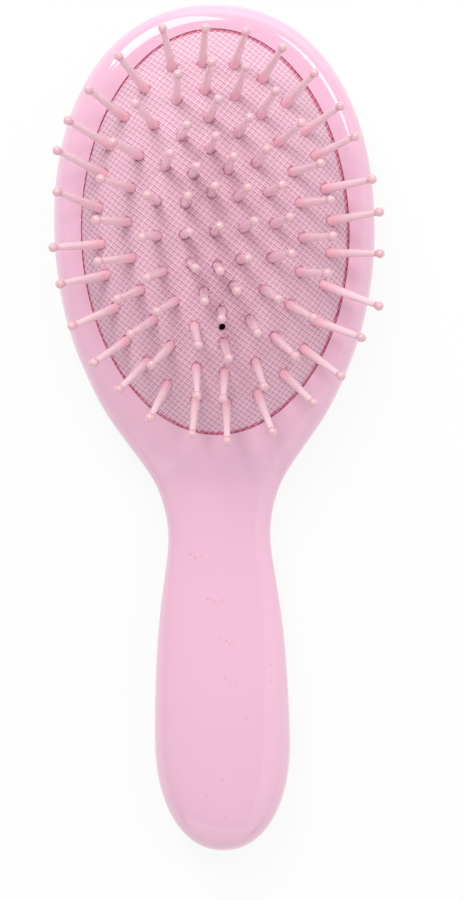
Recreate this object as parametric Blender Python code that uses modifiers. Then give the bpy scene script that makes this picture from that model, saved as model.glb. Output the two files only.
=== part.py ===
"""An oval cushion hair brush, lying on its back with the pins up.

Two welded shells hold an air cushion faced with fabric, and the pins stand square to its dome.
The handle's end is at -Y and the head's top at +Y. The origin is on the table under the middle.
"""

import math

import bmesh
import bpy
import numpy as np
from mathutils import Matrix, Vector

MM = 0.001

# Plan of the brush
LENGTH = 183.5 * MM
HEAD_WIDTH = 69.6 * MM
HEAD_REACH_SHARE = 0.262888  # of the length, from the widest place of the head to its top
HEAD_ROUNDNESS = 2.2
NECK_WIDTH = 22.3 * MM
NECK_REACH_SHARE = 0.372752  # from the handle's end to the narrowest place
HANDLE_WIDTH = 29.7 * MM
HANDLE_REACH_SHARE = 0.133515  # from the handle's end to its widest place
HANDLE_ROUNDNESS = 2.18
HANDLE_TO_NECK_SHARES = ((0, 0), (0.22, 0.069), (0.44, 0.216), (0.665, 0.494), (0.888, 0.883))
NECK_TO_HEAD_SHARES = (
    (0, 0), (0.127, 0.054), (0.19, 0.127), (0.254, 0.245), (0.317, 0.375), (0.381, 0.502),
    (0.444, 0.607), (0.54, 0.734), (0.635, 0.837), (0.762, 0.932), (0.889, 0.984),
)
HEAD_SPINE_SHARE = 0.35  # how far up the rounded top the centre line's last point lies
HANDLE_SPINE_SHARE = 0.45
HANDLE_END_STEPS = 7
HEAD_TOP_STEPS = 9

# Side view of the brush
SEAM_HEIGHT = 7.5 * MM  # the shells meet here, all round
RIM_HEIGHT = 14.0 * MM
NECK_TOP_HEIGHT = 12.8 * MM
HANDLE_TOP_HEIGHT = 15.6 * MM
NECK_LIFT = 2.4 * MM  # the back clears the table by this at the neck
HANDLE_LAND_LENGTH = 12.0 * MM  # flat under the handle
RIM_SHOULDER = 3.3 * MM  # width of the rounded outer edge of the rim
BACK_SHOULDER = 14.0 * MM  # the same on the back of the head
HANDLE_LAND_SHARE = 0.25  # of the handle's half-width that lies flat
SHOULDER_ANGLES = (65, 42, 20)
INNER_ANGLES = (30, 60)
CROWN_SHARE = 0.8  # a column's last point before the centre line

# Shell walls and their weld seam
WALL = 2.4 * MM
HANDLE_SKIN = 2.2 * MM
BACK_SKIN = 2.2 * MM
SEAM_GAP = 0.3 * MM
TONGUE_INSET = 1.1 * MM
TONGUE_RISE = 1.35 * MM
TONGUE_CLEARANCE = 0.3 * MM

# Opening for the cushion
RIM_SIDE_WIDTH = 6.0 * MM  # outline to the lip's edge at the head's widest place
RIM_TOP_WIDTH = 5.6 * MM
OPENING_FROM_NECK_SHARE = 0.122888  # of the length, from the narrowest place to the lip's edge
LIP_TOP_HEIGHT = 12.6 * MM
LIP_UNDERSIDE_HEIGHT = 10.6 * MM
BEVEL_WIDTH = 2.2 * MM  # the slope from the rim's crest down to the lip
BEVEL_SHARES = ((0, 0), (0.45, 0.55), (0.8, 0.9), (1, 1))
SEGMENTS = 32

# Cushion and its fabric
LIP_GAP = 0.3 * MM
DOME_EDGE_HEIGHT = 12.0 * MM
DOME_HEIGHT = 9.6 * MM
DOME_POWER = 3.2
DOME_SHARES = (0.3, 0.55, 0.74, 0.89, 1)
FACING_THICKNESS = 0.6 * MM
FACING_GAP = 0.3 * MM
RUBBER_THICKNESS = 2.0 * MM
FLANGE_GAP = 0.3 * MM
FLANGE_THICKNESS = 2.0 * MM
FLANGE_REACH = 2.3 * MM  # under the lip
FLANGE_ROOT = 2.6 * MM  # inside the lip's edge
CLAMP_INSET = 0.1 * MM
CLAMP_WALL = 1.8 * MM
CLAMP_FOOT_HEIGHT = 3.0 * MM
VENT_SHARES = (0.030700, -0.466500)  # of the opening's half-width and half-length
VENT_RADIUS = 0.75 * MM

# Pins
PIN_LENGTH = 16.3 * MM  # above the fabric
PIN_BASE_RADIUS = 1.1 * MM
PIN_NECK_RADIUS = 0.66 * MM
BALL_RADIUS = 1.0 * MM
BALL_ANGLES = (-30, 30)
FOOT_RADIUS = 1.8 * MM
FOOT_THICKNESS = 0.8 * MM
FOOT_GAP = 0.5 * MM  # under the rubber
PIN_HOLE_CLEARANCE = 0.3 * MM
PIN_SIDES = 6
HOLE_SIDES = 5
HOLE_OVERRUN = 1.2 * MM
RING_1_SHARES = (0.203500, 0.388500)  # of the opening's half-width and half-length
RING_STEP_SHARES = (0.217000, 0.150500)  # from one ring out to the next
RING_PIN_COUNT = (12, 16, 22, 28)
RING_TURN_SHARES = (0.9, 0.86, 0.76, 0.71)  # of a pitch, from the head's top to the first pin
STRIP_PIN_COUNT = 4  # most pins on one strip
CENTRE_PITCH_SHARE = 0.182232  # of the opening's half-length
CENTRE_COUNT = 3
ARC_SAMPLES = 720

# Hidden strips that carry the pins' feet
STRIP_WIDTH = 1.6 * MM
STRIP_THICKNESS = 0.9 * MM
STRIP_DEPTH = 0.4 * MM  # from the top of the feet to the top of the strip
STRIP_OVERHANG = 1.0 * MM

# Places that follow from the sizes
HEAD_REACH = LENGTH * HEAD_REACH_SHARE
HANDLE_REACH = LENGTH * HANDLE_REACH_SHARE
TOP_Y = LENGTH / 2
END_Y = -LENGTH / 2
HEAD_Y = TOP_Y - HEAD_REACH
HANDLE_Y = END_Y + HANDLE_REACH
NECK_Y = END_Y + LENGTH * NECK_REACH_SHARE
OPENING_TOP_Y = TOP_Y - RIM_TOP_WIDTH
OPENING_END_Y = NECK_Y + LENGTH * OPENING_FROM_NECK_SHARE
PAD_Y = (OPENING_TOP_Y + OPENING_END_Y) / 2
OPENING_A = HEAD_WIDTH / 2 - RIM_SIDE_WIDTH
OPENING_B = (OPENING_TOP_Y - OPENING_END_Y) / 2
DOME_A = OPENING_A - LIP_GAP
DOME_B = OPENING_B - LIP_GAP
FLANGE_TOP = LIP_UNDERSIDE_HEIGHT - FLANGE_GAP
FLANGE_BOTTOM = FLANGE_TOP - FLANGE_THICKNESS
FOOT_TOP = FACING_THICKNESS + FACING_GAP + RUBBER_THICKNESS + FOOT_GAP

BODY_PINK = (0.86, 0.50, 0.66)
PIN_PINK = (0.78, 0.38, 0.46)
FABRIC_PINK = (0.80, 0.52, 0.62)
RUBBER_PINK = (0.62, 0.26, 0.38)


def clear_scene():
    for obj in list(bpy.data.objects):
        bpy.data.objects.remove(obj, do_unlink=True)


def new_collection(name):
    collection = bpy.data.collections.new(name)
    bpy.context.scene.collection.children.link(collection)
    return collection


def new_material(name, colour, roughness):
    material = bpy.data.materials.new(name)
    material.use_nodes = True
    shader = material.node_tree.nodes["Principled BSDF"]
    shader.inputs["Base Color"].default_value = (*colour, 1)
    shader.inputs["Roughness"].default_value = roughness
    shader.inputs["Metallic"].default_value = 0
    return material


def new_object(name, bm, collection, material=None, sharp_angle=40):
    mesh = bpy.data.meshes.new(name)
    bm.to_mesh(mesh)
    bm.free()
    mesh.shade_smooth()
    mesh.set_sharp_from_angle(angle=math.radians(sharp_angle))
    obj = bpy.data.objects.new(name, mesh)
    collection.objects.link(obj)
    if material:
        mesh.materials.append(material)
    else:
        obj.hide_render = True
        obj.display_type = "WIRE"
    return obj


def boolean(obj, tool, operation):
    modifier = obj.modifiers.new(f"{operation.lower()} {tool.name}", "BOOLEAN")
    modifier.operation = operation
    modifier.object = tool
    modifier.solver = "EXACT"


def ease(share):
    share = min(max(share, 0), 1)
    return share * share * (3 - 2 * share)


def along_stations(y, stations):
    """Value at y, eased from each (y, value) station to the next."""
    value = stations[0][1]
    for (y0, value0), (y1, value1) in zip(stations, stations[1:]):
        if y > y0:
            value = value0 + (value1 - value0) * ease((y - y0) / (y1 - y0))
    return value


def rounded_quarter(angle, half_width, reach, roundness):
    """Across and along on a quarter of a superellipse, from its tip at angle 0 to its widest place."""
    across = half_width * math.sin(angle) ** (2 / roundness)
    along = reach * math.cos(angle) ** (2 / roundness)
    return across, along


def eased_side(shares, y0, y1, half0, half1):
    return [(half0 + (half1 - half0) * inward, y0 + (y1 - y0) * along) for along, inward in shares]


def plan_columns():
    """One column for each outline point, from the handle's end to the head's top.

    A column is the outline point's x and y, and the y where the column meets the centre line.
    """
    columns = []
    for step in range(HANDLE_END_STEPS):
        angle = math.pi / 2 * step / HANDLE_END_STEPS
        across, along = rounded_quarter(angle, HANDLE_WIDTH / 2, HANDLE_REACH, HANDLE_ROUNDNESS)
        columns.append((across, HANDLE_Y - along, HANDLE_Y - HANDLE_SPINE_SHARE * along))
    half_handle, half_neck, half_head = HANDLE_WIDTH / 2, NECK_WIDTH / 2, HEAD_WIDTH / 2
    sides = eased_side(HANDLE_TO_NECK_SHARES, HANDLE_Y, NECK_Y, half_handle, half_neck)
    sides += eased_side(NECK_TO_HEAD_SHARES, NECK_Y, HEAD_Y, half_neck, half_head)
    columns += [(x, y, y) for x, y in sides]
    for step in range(HEAD_TOP_STEPS + 1):
        angle = math.pi / 2 * (1 - step / HEAD_TOP_STEPS)
        across, along = rounded_quarter(angle, half_head, HEAD_REACH, HEAD_ROUNDNESS)
        columns.append((across, HEAD_Y + along, HEAD_Y + HEAD_SPINE_SHARE * along))
    return columns


def top_height(y):
    stations = (
        (HANDLE_Y, HANDLE_TOP_HEIGHT),
        (NECK_Y, NECK_TOP_HEIGHT),
        (OPENING_END_Y - BEVEL_WIDTH, RIM_HEIGHT),
    )
    return along_stations(y, stations)


def bottom_height(y):
    land_end = HANDLE_Y + HANDLE_LAND_LENGTH / 2
    stations = ((land_end, 0), (NECK_Y, NECK_LIFT), (OPENING_END_Y + BACK_SHOULDER, 0))
    return along_stations(y, stations)


def rimness(y):
    """0 on the handle and neck, whose front is round right across, 1 where it is a rim."""
    return ease((y - NECK_Y - WALL) / (OPENING_END_Y + BACK_SHOULDER - NECK_Y))


def quarter_curve(share):
    """Height share of a quarter ellipse at a share of its width."""
    return math.sqrt(1 - (1 - min(max(share, 0), 1)) ** 2)


def section(column, rows):
    """Points of a column's rows, each a distance in from the outline and a height."""
    x, y, spine_y = column
    outline = Vector((x, y, 0))
    inward = Vector((-x, spine_y - y, 0)).normalized()
    return [outline + inward * distance + Vector((0, 0, height)) for distance, height in rows]


def front_section(column):
    x, y, spine_y = column
    reach = math.hypot(x, spine_y - y)
    rim = rimness(spine_y)
    top = top_height(spine_y)
    shoulder = reach + (RIM_SHOULDER - reach) * rim
    crown = min(shoulder, CROWN_SHARE * reach)
    foot = SEAM_HEIGHT + SEAM_GAP / 2
    inner_foot = SEAM_HEIGHT + TONGUE_RISE + TONGUE_CLEARANCE
    inner_top = top - HANDLE_SKIN + (LIP_UNDERSIDE_HEIGHT - RIM_HEIGHT + HANDLE_SKIN) * rim
    inner_shoulder = shoulder - WALL

    def outside(distance):
        return distance, foot + (top - foot) * quarter_curve(distance / shoulder)

    def inside(distance):
        share = (distance - WALL) / inner_shoulder
        return distance, inner_foot + (inner_top - inner_foot) * quarter_curve(share)

    rows = [outside(reach), outside(crown)]
    rows += [outside(shoulder * (1 - math.cos(math.radians(a)))) for a in SHOULDER_ANGLES]
    rows += [(0, foot), (TONGUE_INSET, foot), (TONGUE_INSET, inner_foot), (WALL, inner_foot)]
    rows += [inside(WALL + inner_shoulder * (1 - math.cos(math.radians(a)))) for a in INNER_ANGLES]
    rows += [inside(crown), inside(reach)]
    return section(column, rows)


def back_section(column):
    x, y, spine_y = column
    reach = math.hypot(x, spine_y - y)
    bottom = bottom_height(spine_y)
    handle_shoulder = reach * (1 - HANDLE_LAND_SHARE)
    shoulder = handle_shoulder + (BACK_SHOULDER - handle_shoulder) * rimness(spine_y)
    foot = SEAM_HEIGHT - SEAM_GAP / 2
    tongue_top = SEAM_HEIGHT + TONGUE_RISE
    tongue_inset = TONGUE_INSET + TONGUE_CLEARANCE
    inner_bottom = bottom + BACK_SKIN
    inner_shoulder = shoulder - WALL

    def outside(distance):
        return distance, foot + (bottom - foot) * quarter_curve(distance / shoulder)

    def inside(distance):
        share = (distance - WALL) / inner_shoulder
        return distance, foot + (inner_bottom - foot) * quarter_curve(share)

    rows = [outside(reach), outside(shoulder)]
    rows += [outside(shoulder * (1 - math.cos(math.radians(a)))) for a in SHOULDER_ANGLES]
    rows += [(0, foot), (tongue_inset, foot), (tongue_inset, tongue_top), (WALL, tongue_top)]
    rows += [(WALL, foot)]
    rows += [inside(WALL + inner_shoulder * (1 - math.cos(math.radians(a)))) for a in INNER_ANGLES]
    rows += [inside(shoulder), inside(reach)]
    return section(column, rows)


def half_shell(name, sections, collection, material, flipped):
    """A lofted half on the +X side, open at the middle, and its mirror image."""
    bm = bmesh.new()
    grid = [[bm.verts.new(point) for point in points] for points in sections]
    for left, right in zip(grid, grid[1:]):
        for row in range(len(left) - 1):
            corners = [left[row], right[row], right[row + 1], left[row + 1]]
            bm.faces.new(corners[::-1] if flipped else corners)
    obj = new_object(name, bm, collection, material)
    mirror = obj.modifiers.new("other half", "MIRROR")
    mirror.merge_threshold = SEAM_GAP / 10
    return obj


def oval(half_width, half_length, height):
    """Ring of points round the pad's centre, all at one height."""
    turns = [2 * math.pi * step / SEGMENTS for step in range(SEGMENTS)]
    return [
        Vector((half_width * math.cos(turn), PAD_Y + half_length * math.sin(turn), height))
        for turn in turns
    ]


def lip_oval(outside, height):
    """Ring that lies outside the lip's edge by a distance."""
    return oval(OPENING_A + outside, OPENING_B + outside, height)


def dome_point(x, y, depth):
    """Point under the fabric's face, measured square to the dome. x and y are from the pad's centre."""
    share = math.hypot(x / DOME_A, y / DOME_B)
    height = DOME_EDGE_HEIGHT + DOME_HEIGHT * (1 - share**DOME_POWER)
    return Vector((x, PAD_Y + y, height)) - dome_normal(x, y) * depth


def dome_normal(x, y):
    share = math.hypot(x / DOME_A, y / DOME_B)
    if share == 0:
        return Vector((0, 0, 1))
    steepness = DOME_HEIGHT * DOME_POWER * share ** (DOME_POWER - 2)
    return Vector((steepness * x / DOME_A**2, steepness * y / DOME_B**2, 1)).normalized()


def dome_rings(depth):
    """Rings of the dome at one depth, from near its top to its edge."""
    rings = []
    for share in DOME_SHARES:
        ring = []
        for step in range(SEGMENTS):
            turn = 2 * math.pi * step / SEGMENTS
            x, y = share * DOME_A * math.cos(turn), share * DOME_B * math.sin(turn)
            ring.append(dome_point(x, y, depth))
        rings.append(ring)
    return rings


def loft(rings, first=None, last=None, closed=False):
    """Skin over rings, from top to bottom on the outside: with a pole at each end, or closed on itself."""
    bm = bmesh.new()
    made = [[bm.verts.new(point) for point in ring] for ring in rings]
    pairs = list(zip(made, made[1:]))
    if closed:
        pairs.append((made[-1], made[0]))
    for upper, lower in pairs:
        for step in range(len(upper)):
            after = (step + 1) % len(upper)
            bm.faces.new((upper[step], lower[step], lower[after], upper[after]))
    for pole, ring, order in ((first, made[0], 1), (last, made[-1], -1)):
        if pole is None:
            continue
        tip = bm.verts.new(pole)
        for step in range(len(ring)):
            bm.faces.new((tip, ring[step], ring[(step + 1) % len(ring)])[::order])
    return bm


def opening_cutter(collection):
    """Plug that cuts the cushion's opening and the slope of the rim round it."""
    drop = RIM_HEIGHT - LIP_TOP_HEIGHT
    rings = [lip_oval(BEVEL_WIDTH, RIM_HEIGHT + WALL)]
    for along, up in reversed(BEVEL_SHARES):
        rings.append(lip_oval(BEVEL_WIDTH * along, LIP_TOP_HEIGHT + drop * up))
    rings.append(lip_oval(0, SEAM_HEIGHT))
    top = Vector((0, PAD_Y, RIM_HEIGHT + WALL))
    bm = loft(rings, first=top, last=Vector((0, PAD_Y, SEAM_HEIGHT)))
    return new_object("opening_cutter", bm, collection)


def clamp_wall(collection):
    """Oval wall on the back shell's floor, which holds the cushion's flange up against the lip."""
    top = FLANGE_BOTTOM - FLANGE_GAP
    inside, outside = CLAMP_INSET, CLAMP_INSET + CLAMP_WALL
    rings = [
        lip_oval(inside, top),
        lip_oval(outside, top),
        lip_oval(outside, CLAMP_FOOT_HEIGHT),
        lip_oval(inside, CLAMP_FOOT_HEIGHT),
    ]
    return new_object("clamp_wall", loft(rings, closed=True), collection)


def cushion_pad(collection, material):
    face_depth = FACING_THICKNESS + FACING_GAP
    back_depth = face_depth + RUBBER_THICKNESS
    rings = dome_rings(face_depth)
    rings += [
        lip_oval(-LIP_GAP, FLANGE_TOP),
        lip_oval(FLANGE_REACH, FLANGE_TOP),
        lip_oval(FLANGE_REACH, FLANGE_BOTTOM),
        lip_oval(-FLANGE_ROOT, FLANGE_BOTTOM),
    ]
    rings += reversed(dome_rings(back_depth))
    bm = loft(rings, first=dome_point(0, 0, face_depth), last=dome_point(0, 0, back_depth))
    return new_object("cushion_pad", bm, collection, material)


def pad_facing(collection, material):
    rings = dome_rings(0) + dome_rings(FACING_THICKNESS)[::-1]
    bm = loft(rings, first=dome_point(0, 0, 0), last=dome_point(0, 0, FACING_THICKNESS))
    return new_object("pad_facing", bm, collection, material)


def ring_places(ring):
    """Evenly spaced places of a ring's pins, from the pad's centre, clockwise from the head's top."""
    half_width = OPENING_A * (RING_1_SHARES[0] + RING_STEP_SHARES[0] * ring)
    half_length = OPENING_B * (RING_1_SHARES[1] + RING_STEP_SHARES[1] * ring)
    turns = np.linspace(0, 2 * math.pi, ARC_SAMPLES + 1)
    x, y = half_width * np.sin(turns), half_length * np.cos(turns)
    travelled = np.concatenate(([0], np.cumsum(np.hypot(np.diff(x), np.diff(y)))))
    count = RING_PIN_COUNT[ring]
    stops = (np.arange(count) + RING_TURN_SHARES[ring]) / count * travelled[-1] % travelled[-1]
    return list(zip(np.interp(stops, travelled, x), np.interp(stops, travelled, y)))


def centre_places():
    middle = (CENTRE_COUNT - 1) / 2
    pitch = OPENING_B * CENTRE_PITCH_SHARE
    return [(0, pitch * (middle - index)) for index in range(CENTRE_COUNT)]


def pin_matrix(place):
    """Frame of a pin: its origin on the fabric's face and its Z axis square to the dome."""
    turn = dome_normal(*place).to_track_quat("Z", "Y").to_matrix().to_4x4()
    return Matrix.Translation(dome_point(*place, 0)) @ turn


def pin_profile():
    """Radius and height of the pin's outline, from the middle of its foot to the tip of its ball."""
    ball_height = PIN_LENGTH - BALL_RADIUS
    profile = [(0, -FOOT_TOP - FOOT_THICKNESS), (FOOT_RADIUS, -FOOT_TOP - FOOT_THICKNESS)]
    profile += [(PIN_BASE_RADIUS, -FOOT_TOP), (PIN_NECK_RADIUS, ball_height - BALL_RADIUS)]
    for angle in map(math.radians, BALL_ANGLES):
        profile.append((BALL_RADIUS * math.cos(angle), ball_height + BALL_RADIUS * math.sin(angle)))
    profile.append((0, PIN_LENGTH))
    return profile


def add_pin(bm, place):
    """One turned pin, spun round its own axis and set on the dome."""
    made = [bm.verts.new((radius, 0, height)) for radius, height in pin_profile()]
    edges = [bm.edges.new(pair) for pair in zip(made, made[1:])]
    bmesh.ops.spin(
        bm, geom=made + edges, cent=(0, 0, 0), axis=(0, 0, 1), angle=2 * math.pi,
        steps=PIN_SIDES, use_merge=True,
    )
    fresh = [vert for vert in bm.verts if not vert.tag]
    bmesh.ops.remove_doubles(bm, verts=fresh, dist=PIN_HOLE_CLEARANCE / 10)
    fresh = [vert for vert in bm.verts if not vert.tag]
    bmesh.ops.transform(bm, matrix=pin_matrix(place), verts=fresh)
    for vert in fresh:
        vert.tag = True


def add_hole_cutter(bm, place, radius, depth):
    length = depth + 2 * HOLE_OVERRUN
    middle = Matrix.Translation(Vector((0, 0, -depth / 2)))
    bmesh.ops.create_cone(
        bm, cap_ends=True, segments=HOLE_SIDES, radius1=radius, radius2=radius, depth=length,
        matrix=pin_matrix(place) @ middle,
    )


def hole_cutters(collection, places):
    """Holes for every pin and the vent, through the fabric and the rubber."""
    bm = bmesh.new()
    clear_radius = (PIN_BASE_RADIUS + PIN_HOLE_CLEARANCE) / math.cos(math.pi / HOLE_SIDES)
    for place in places:
        add_hole_cutter(bm, place, clear_radius, FOOT_TOP - FOOT_GAP)
    vent = (OPENING_A * VENT_SHARES[0], OPENING_B * VENT_SHARES[1])
    add_hole_cutter(bm, vent, VENT_RADIUS, FOOT_TOP - FOOT_GAP)
    return new_object("hole_cutters", bm, collection)


def strip_bar(name, places, collection, material):
    """Thin bar under the rubber that joins the feet of neighbouring pins."""
    frames = [pin_matrix(place) for place in places]
    top = -FOOT_TOP - STRIP_DEPTH
    seats = [frame @ Vector((0, 0, top)) for frame in frames]
    ups = [frame.col[2].xyz for frame in frames]
    first_run = (seats[0] - seats[1]).normalized()
    last_run = (seats[-1] - seats[-2]).normalized()
    seats = [seats[0] + first_run * STRIP_OVERHANG, *seats[1:-1], seats[-1] + last_run * STRIP_OVERHANG]
    bm = bmesh.new()
    rings = []
    for index, (seat, up) in enumerate(zip(seats, ups)):
        run = seats[min(index + 1, len(seats) - 1)] - seats[max(index - 1, 0)]
        side = run.cross(up).normalized() * STRIP_WIDTH / 2
        down = up * STRIP_THICKNESS
        ring = (seat - side, seat + side, seat + side - down, seat - side - down)
        rings.append([bm.verts.new(point) for point in ring])
    for near, far in zip(rings, rings[1:]):
        for step in range(len(near)):
            after = (step + 1) % len(near)
            bm.faces.new((near[step], near[after], far[after], far[step]))
    bm.faces.new(rings[0][::-1])
    bm.faces.new(rings[-1])
    bmesh.ops.recalc_face_normals(bm, faces=bm.faces)
    return new_object(name, bm, collection, material)


def pin_strip(name, places, parts, helpers, material):
    """A few neighbouring pins on their strip, as one piece."""
    bm = bmesh.new()
    for place in places:
        add_pin(bm, place)
    bmesh.ops.recalc_face_normals(bm, faces=bm.faces)
    pins = new_object(f"{name}_pins", bm, helpers)
    strip = strip_bar(name, places, parts, material)
    boolean(strip, pins, "UNION")


def build():
    clear_scene()
    parts = new_collection("cushion_hair_brush")
    helpers = new_collection("cutters")
    gloss = new_material("glossy_pink_plastic", BODY_PINK, 0.2)
    pin_plastic = new_material("pin_plastic", PIN_PINK, 0.35)
    fabric = new_material("woven_facing", FABRIC_PINK, 0.85)
    rubber = new_material("cushion_rubber", RUBBER_PINK, 0.6)

    columns = plan_columns()
    front = half_shell("front_shell", map(front_section, columns), parts, gloss, False)
    boolean(front, opening_cutter(helpers), "DIFFERENCE")
    back = half_shell("back_shell", map(back_section, columns), parts, gloss, True)
    boolean(back, clamp_wall(helpers), "UNION")

    rings = [ring_places(ring) for ring in range(len(RING_PIN_COUNT))]
    holes = hole_cutters(helpers, centre_places() + [place for ring in rings for place in ring])
    boolean(cushion_pad(parts, rubber), holes, "DIFFERENCE")
    boolean(pad_facing(parts, fabric), holes, "DIFFERENCE")

    pin_strip("pin_strip_centre", centre_places(), parts, helpers, pin_plastic)
    for ring, places in enumerate(rings, start=1):
        strip_count = math.ceil(len(places) / STRIP_PIN_COUNT)
        for number, run in enumerate(np.array_split(places, strip_count), start=1):
            pin_strip(f"pin_strip_ring_{ring}_{number}", run, parts, helpers, pin_plastic)


build()
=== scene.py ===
import math

import bmesh
import bpy
import numpy as np
from mathutils import Matrix, Vector


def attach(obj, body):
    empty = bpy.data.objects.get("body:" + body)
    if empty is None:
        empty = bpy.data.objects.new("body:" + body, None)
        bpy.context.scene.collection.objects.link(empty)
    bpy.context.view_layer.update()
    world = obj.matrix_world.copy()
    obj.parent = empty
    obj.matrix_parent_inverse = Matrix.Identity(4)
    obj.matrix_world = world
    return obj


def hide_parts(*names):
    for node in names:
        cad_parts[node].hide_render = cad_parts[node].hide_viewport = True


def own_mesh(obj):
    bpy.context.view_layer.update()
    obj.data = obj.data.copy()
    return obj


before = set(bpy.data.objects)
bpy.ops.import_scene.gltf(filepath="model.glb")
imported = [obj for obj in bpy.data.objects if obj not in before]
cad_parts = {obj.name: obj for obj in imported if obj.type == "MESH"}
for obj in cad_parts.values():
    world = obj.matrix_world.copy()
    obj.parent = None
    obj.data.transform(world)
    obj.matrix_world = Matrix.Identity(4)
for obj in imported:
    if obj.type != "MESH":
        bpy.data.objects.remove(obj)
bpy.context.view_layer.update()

# Camera
# It looks down on the pin side of the brush, which lies on its back with the head at the top of
# the picture, turned a little to the left. The pins below are aimed with it.
MM = 0.001
PICTURE_WIDTH = 463
PICTURE_HEIGHT = 900
PIXELS_PER_MM = 4.603  # at the seam's height
PICTURE_ROLL = 0.0152  # radians that the head's top leans to the left
SENSOR = 36.0
EYE = Vector((-18.0, 24.0, 640.0)) * MM
AIM = Vector((2.94, -4.37, 7.5)) * MM

forward = (AIM - EYE).normalized()
upward = Vector((math.sin(PICTURE_ROLL), math.cos(PICTURE_ROLL), 0))
sideways = forward.cross(upward).normalized()
upward = sideways.cross(forward)
frame_height = PICTURE_HEIGHT / PIXELS_PER_MM * MM
lens = SENSOR * (AIM - EYE).length / frame_height

camera_data = bpy.data.cameras.new("camera")
camera_data.lens = lens
camera_data.sensor_width = SENSOR
camera_data.clip_start = 0.05
camera_data.clip_end = 20
camera = bpy.data.objects.new("camera", camera_data)
bpy.context.scene.collection.objects.link(camera)
turn = Matrix((sideways, upward, -forward)).transposed().to_4x4()
camera.matrix_world = Matrix.Translation(EYE) @ turn
bpy.context.scene.camera = camera


def pixel_ray(pixel):
    """Direction from the camera through a pixel of the picture."""
    across = (pixel[0] - PICTURE_WIDTH / 2) / PICTURE_HEIGHT * SENSOR / lens
    up = (PICTURE_HEIGHT / 2 - pixel[1]) / PICTURE_HEIGHT * SENSOR / lens
    return (forward + sideways * across + upward * up).normalized()


# Back shell
# The rear half of head, neck and handle: one injection moulding in glossy pink plastic, with a wall
# a little over 2 mm thick. A tongue round its edge locates the front shell for welding.
LENGTH = 183.5 * MM
HEAD_WIDTH = 69.6 * MM
HEAD_REACH = 48.24 * MM  # widest place of the head to its top
HEAD_ROUNDNESS = 2.2
NECK_WIDTH = 22.3 * MM
NECK_REACH = 68.4 * MM  # handle's end to the narrowest place
HANDLE_WIDTH = 29.7 * MM
HANDLE_REACH = 24.5 * MM  # handle's end to its widest place
HANDLE_ROUNDNESS = 2.18
HANDLE_TO_NECK_SHARES = ((0, 0), (0.22, 0.069), (0.44, 0.216), (0.665, 0.494), (0.888, 0.883))
NECK_TO_HEAD_SHARES = (
    (0, 0), (0.127, 0.054), (0.19, 0.127), (0.254, 0.245), (0.317, 0.375), (0.381, 0.502),
    (0.444, 0.607), (0.54, 0.734), (0.635, 0.837), (0.762, 0.932), (0.889, 0.984), (1, 1),
)
HEAD_SPINE_SHARE = 0.35
HANDLE_SPINE_SHARE = 0.45
SEAM_HEIGHT = 7.5 * MM
SEAM_GAP = 0.2 * MM
WALL = 2.4 * MM
SKIN = 2.2 * MM
TONGUE_INSET = 1.1 * MM
TONGUE_RISE = 1.35 * MM
TONGUE_CLEARANCE = 0.3 * MM
NECK_LIFT = 2.4 * MM  # the back clears the table by this at the neck
HANDLE_LAND_LENGTH = 12.0 * MM
HANDLE_LAND_SHARE = 0.25
BACK_SHOULDER = 14.0 * MM
EDGE_ROUND = 0.25 * MM  # rounding of the shells' edges at the seam
END_COLUMNS = 30
SIDE_COLUMNS = 130
TOP_COLUMNS = 60
SHOULDER_ROWS = 14
FLAT_ROWS = 6
SHOULDER_LIMIT = 0.98  # of the way in from the outline

top_y = LENGTH / 2
end_y = -LENGTH / 2
head_y = top_y - HEAD_REACH
handle_y = end_y + HANDLE_REACH
neck_y = end_y + NECK_REACH
opening_end_y = -0.8 * MM  # where the lip comes nearest to the neck


def spline(knots, values, at):
    """Smooth curve through the knots, level at both ends."""
    gaps = np.diff(knots)
    slopes = np.diff(values) / gaps
    count = len(knots)
    system = np.eye(count)
    right = np.zeros(count)
    for i in range(1, count - 1):
        system[i, i - 1 : i + 2] = gaps[i], 2 * (gaps[i - 1] + gaps[i]), gaps[i - 1]
        right[i] = 3 * (gaps[i] * slopes[i - 1] + gaps[i - 1] * slopes[i])
    tangents = np.linalg.solve(system, right)
    span = np.clip(np.searchsorted(knots, at) - 1, 0, count - 2)
    gap = gaps[span]
    t = (at - knots[span]) / gap
    start, stop = values[span], values[span + 1]
    leave, arrive = tangents[span] * gap, tangents[span + 1] * gap
    return (
        start * (1 + 2 * t) * (1 - t) ** 2
        + leave * t * (1 - t) ** 2
        + stop * t * t * (3 - 2 * t)
        + arrive * t * t * (t - 1)
    )


def ease(share):
    share = min(max(share, 0), 1)
    return share * share * (3 - 2 * share)


def along_stations(y, stations):
    """Value at y, eased from each (y, value) station to the next."""
    value = stations[0][1]
    for (y0, value0), (y1, value1) in zip(stations, stations[1:]):
        if y > y0:
            value = value0 + (value1 - value0) * ease((y - y0) / (y1 - y0))
    return value


def quarter(share, power=2.0):
    """Height share of a rounded quarter at a share of its width, squarer with a higher power."""
    return (1 - (1 - min(max(share, 0), 1)) ** power) ** (1 / power)


def side_stations():
    """Places along the brush and half-widths there, from the handle's widest to the head's."""
    stations = []
    for start, stop, width, next_width, shares in (
        (handle_y, neck_y, HANDLE_WIDTH, NECK_WIDTH, HANDLE_TO_NECK_SHARES),
        (neck_y, head_y, NECK_WIDTH, HEAD_WIDTH, NECK_TO_HEAD_SHARES),
    ):
        for along, share in shares:
            half_width = width / 2 + (next_width - width) / 2 * share
            stations.append((start + (stop - start) * along, half_width))
    return np.array(stations).T


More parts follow.
